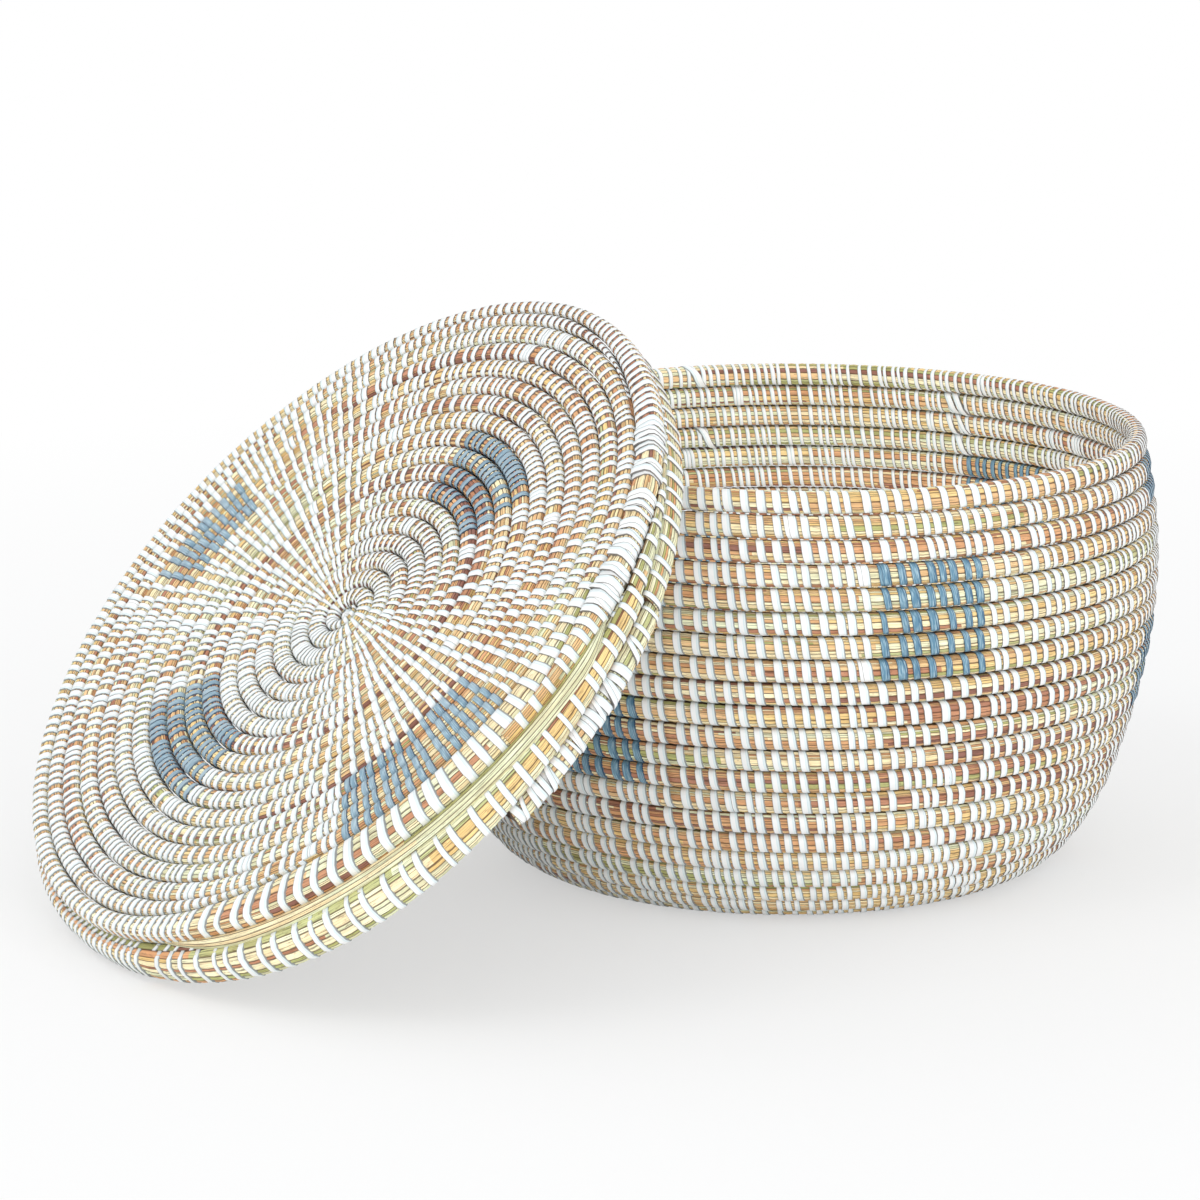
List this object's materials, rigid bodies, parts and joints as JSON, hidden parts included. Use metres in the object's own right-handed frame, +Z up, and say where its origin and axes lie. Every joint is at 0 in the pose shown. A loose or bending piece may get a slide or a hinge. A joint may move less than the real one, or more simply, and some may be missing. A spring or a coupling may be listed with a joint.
{
  "type": "lidded storage basket",
  "caption": "Round coiled grass storage basket with gently bulging sides and a flat coiled lid that drops over the rim, shown leaning on it.",
  "frame": {"origin": "centre of the basket's base, on the surface that it stands on", "axes": "+Z is up along the basket's own axis, and the lid leans on the -X side"},
  "size_m": [0.5958, 0.4082, 0.2967],
  "materials": {
    "basket_grass": "matte",
    "lid_grass": "matte",
    "lid_edge_grass": "matte",
    "white_strip": "satin",
    "blue_strip": "satin"
  },
  "bodies": {
    "basket": {"base_start": "basket_grass", "base_round_01": "basket_grass", "base_round_02": "basket_grass", "base_round_03": "basket_grass", "base_round_04": "basket_grass", "base_round_05": "basket_grass", "base_round_06": "basket_grass", "base_round_07": "basket_grass", "base_round_08": "basket_grass", "base_round_09": "basket_grass", "base_round_10": "basket_grass", "wall_round_01": "basket_grass", "wall_round_02": "basket_grass", "wall_round_03": "basket_grass", "wall_round_04": "basket_grass", "wall_round_05": "basket_grass", "wall_round_06": "basket_grass", "wall_round_07": "basket_grass", "wall_round_08": "basket_grass", "wall_round_09": "basket_grass", "wall_round_10": "basket_grass", "wall_round_11": "basket_grass", "wall_round_12": "basket_grass", "wall_round_13": "basket_grass", "wall_round_14": "basket_grass", "wall_round_15": "basket_grass", "wall_round_16": "basket_grass", "wall_round_17": "basket_grass", "wall_round_18": "basket_grass", "wall_round_19": "basket_grass", "wall_round_20": "basket_grass", "rim_end": "basket_grass"},
    "lid_knot": {"lid_start_knot": "lid_grass"},
    "lid": {"lid_start": "lid_grass", "lid_round_01": "lid_grass", "lid_round_02": "lid_grass", "lid_round_03": "lid_grass", "lid_round_04": "lid_grass", "lid_round_05": "lid_grass", "lid_round_06": "lid_grass", "lid_round_07": "lid_grass", "lid_round_08": "lid_grass", "lid_round_09": "lid_grass", "lid_round_10": "lid_grass", "lid_round_11": "lid_grass", "lid_round_12": "lid_grass", "lid_round_13": "lid_grass", "lid_round_14": "lid_grass", "lid_round_15": "lid_grass", "lid_edge_round": "lid_edge_grass", "skirt_round": "lid_edge_grass", "skirt_end": "lid_edge_grass"}
  },
  "joints": [
    {"name": "lid_carry", "type": "hinge", "parent": "basket", "child": "lid_knot", "pos_m": [-0.14268, 0, 0.23558], "axis": [0, 1, 0], "range_deg": [0, 213.28]},
    {"name": "lid_level", "type": "hinge", "parent": "lid_knot", "child": "lid", "pos_m": [-0.26196, -0.01, 0.15729], "axis": [0, 1, 0], "range_deg": [-178, 0]}
  ],
  "couplings": [
    {"joint": "lid_level", "follows": "lid_carry", "ratio": -0.79042}
  ]
}
